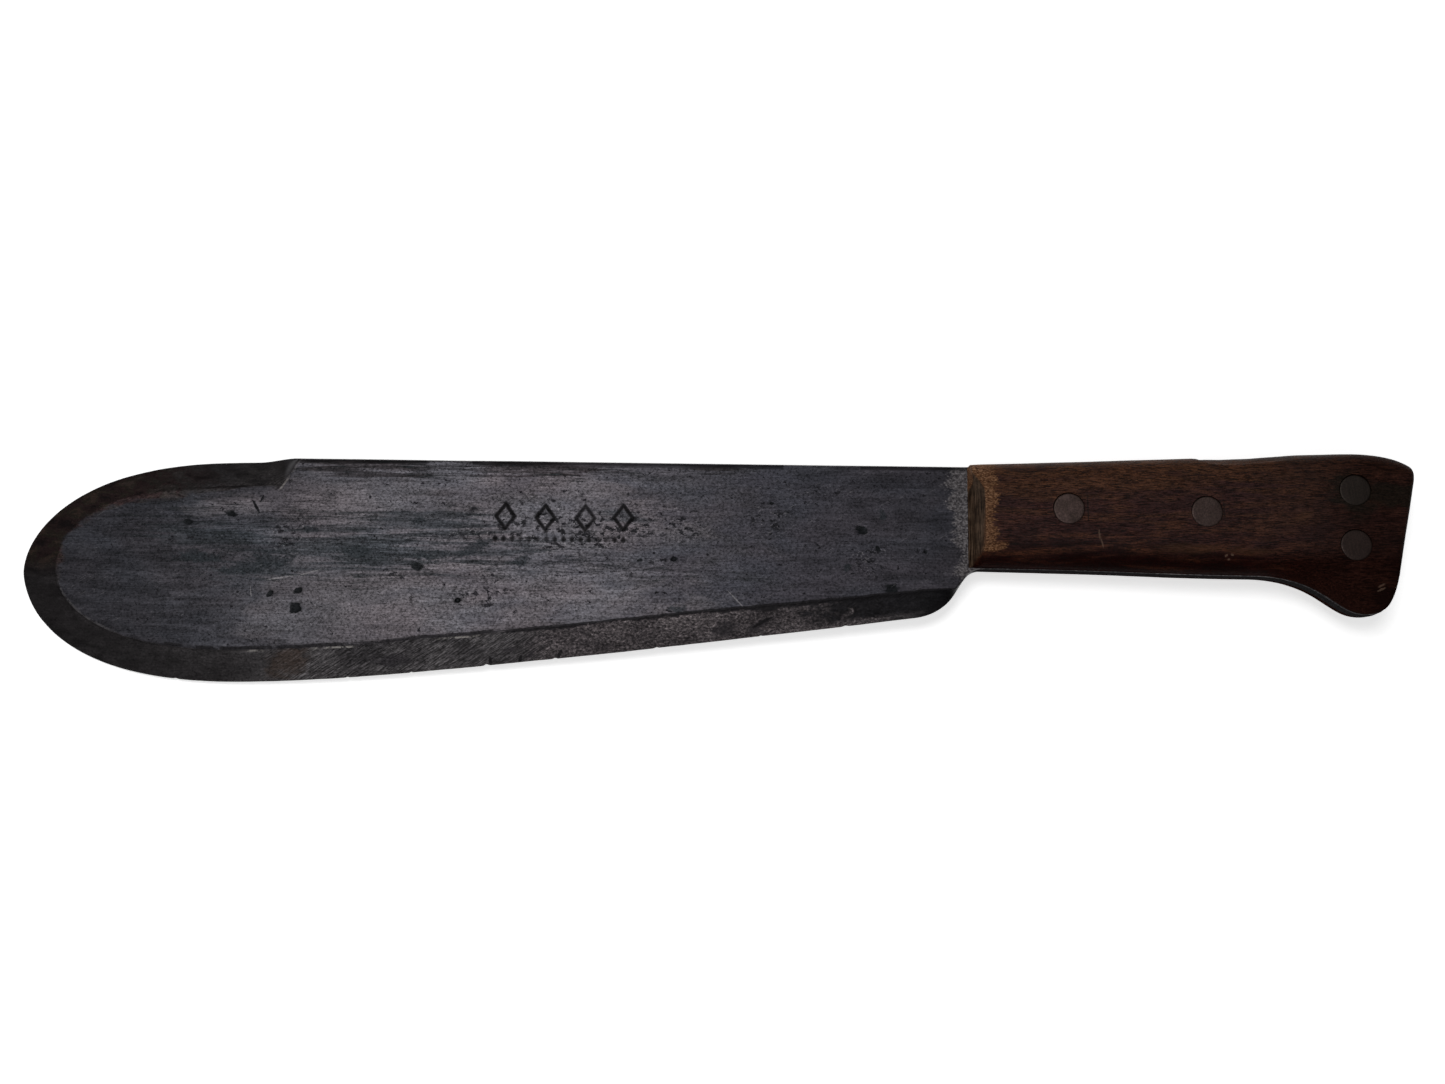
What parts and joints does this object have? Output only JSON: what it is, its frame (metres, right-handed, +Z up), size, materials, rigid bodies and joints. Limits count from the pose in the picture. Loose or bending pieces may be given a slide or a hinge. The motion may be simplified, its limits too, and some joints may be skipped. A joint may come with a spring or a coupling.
{
  "type": "bolo knife",
  "caption": "Heavy fixed-blade knife with a broad round-nosed blade, a full tang and riveted wooden grip scales that hook down at the butt.",
  "frame": {"origin": "centre of the bounding box's base: the knife lies flat on its right side, left side up", "axes": "+X from the blade's tip to the butt of the grip, +Y from the cutting edge to the spine, +Z up through the knife's thickness"},
  "size_m": [0.4293, 0.075, 0.0222],
  "materials": {
    "blade_steel": "dark aged patina on the flats, worn ground grinds",
    "scale_wood": "dark reddish brown hardwood, oiled and worn",
    "rivet_metal": "dull aged bronze, ground nearly flush"
  },
  "bodies": {
    "root": {"blade": "blade_steel", "left_scale": "scale_wood", "right_scale": "scale_wood", "rivet_front_tube": "rivet_metal", "rivet_front_shank": "rivet_metal", "rivet_middle_tube": "rivet_metal", "rivet_middle_shank": "rivet_metal", "rivet_butt_upper_tube": "rivet_metal", "rivet_butt_upper_shank": "rivet_metal", "rivet_butt_lower_tube": "rivet_metal", "rivet_butt_lower_shank": "rivet_metal"}
  },
  "joints": []
}
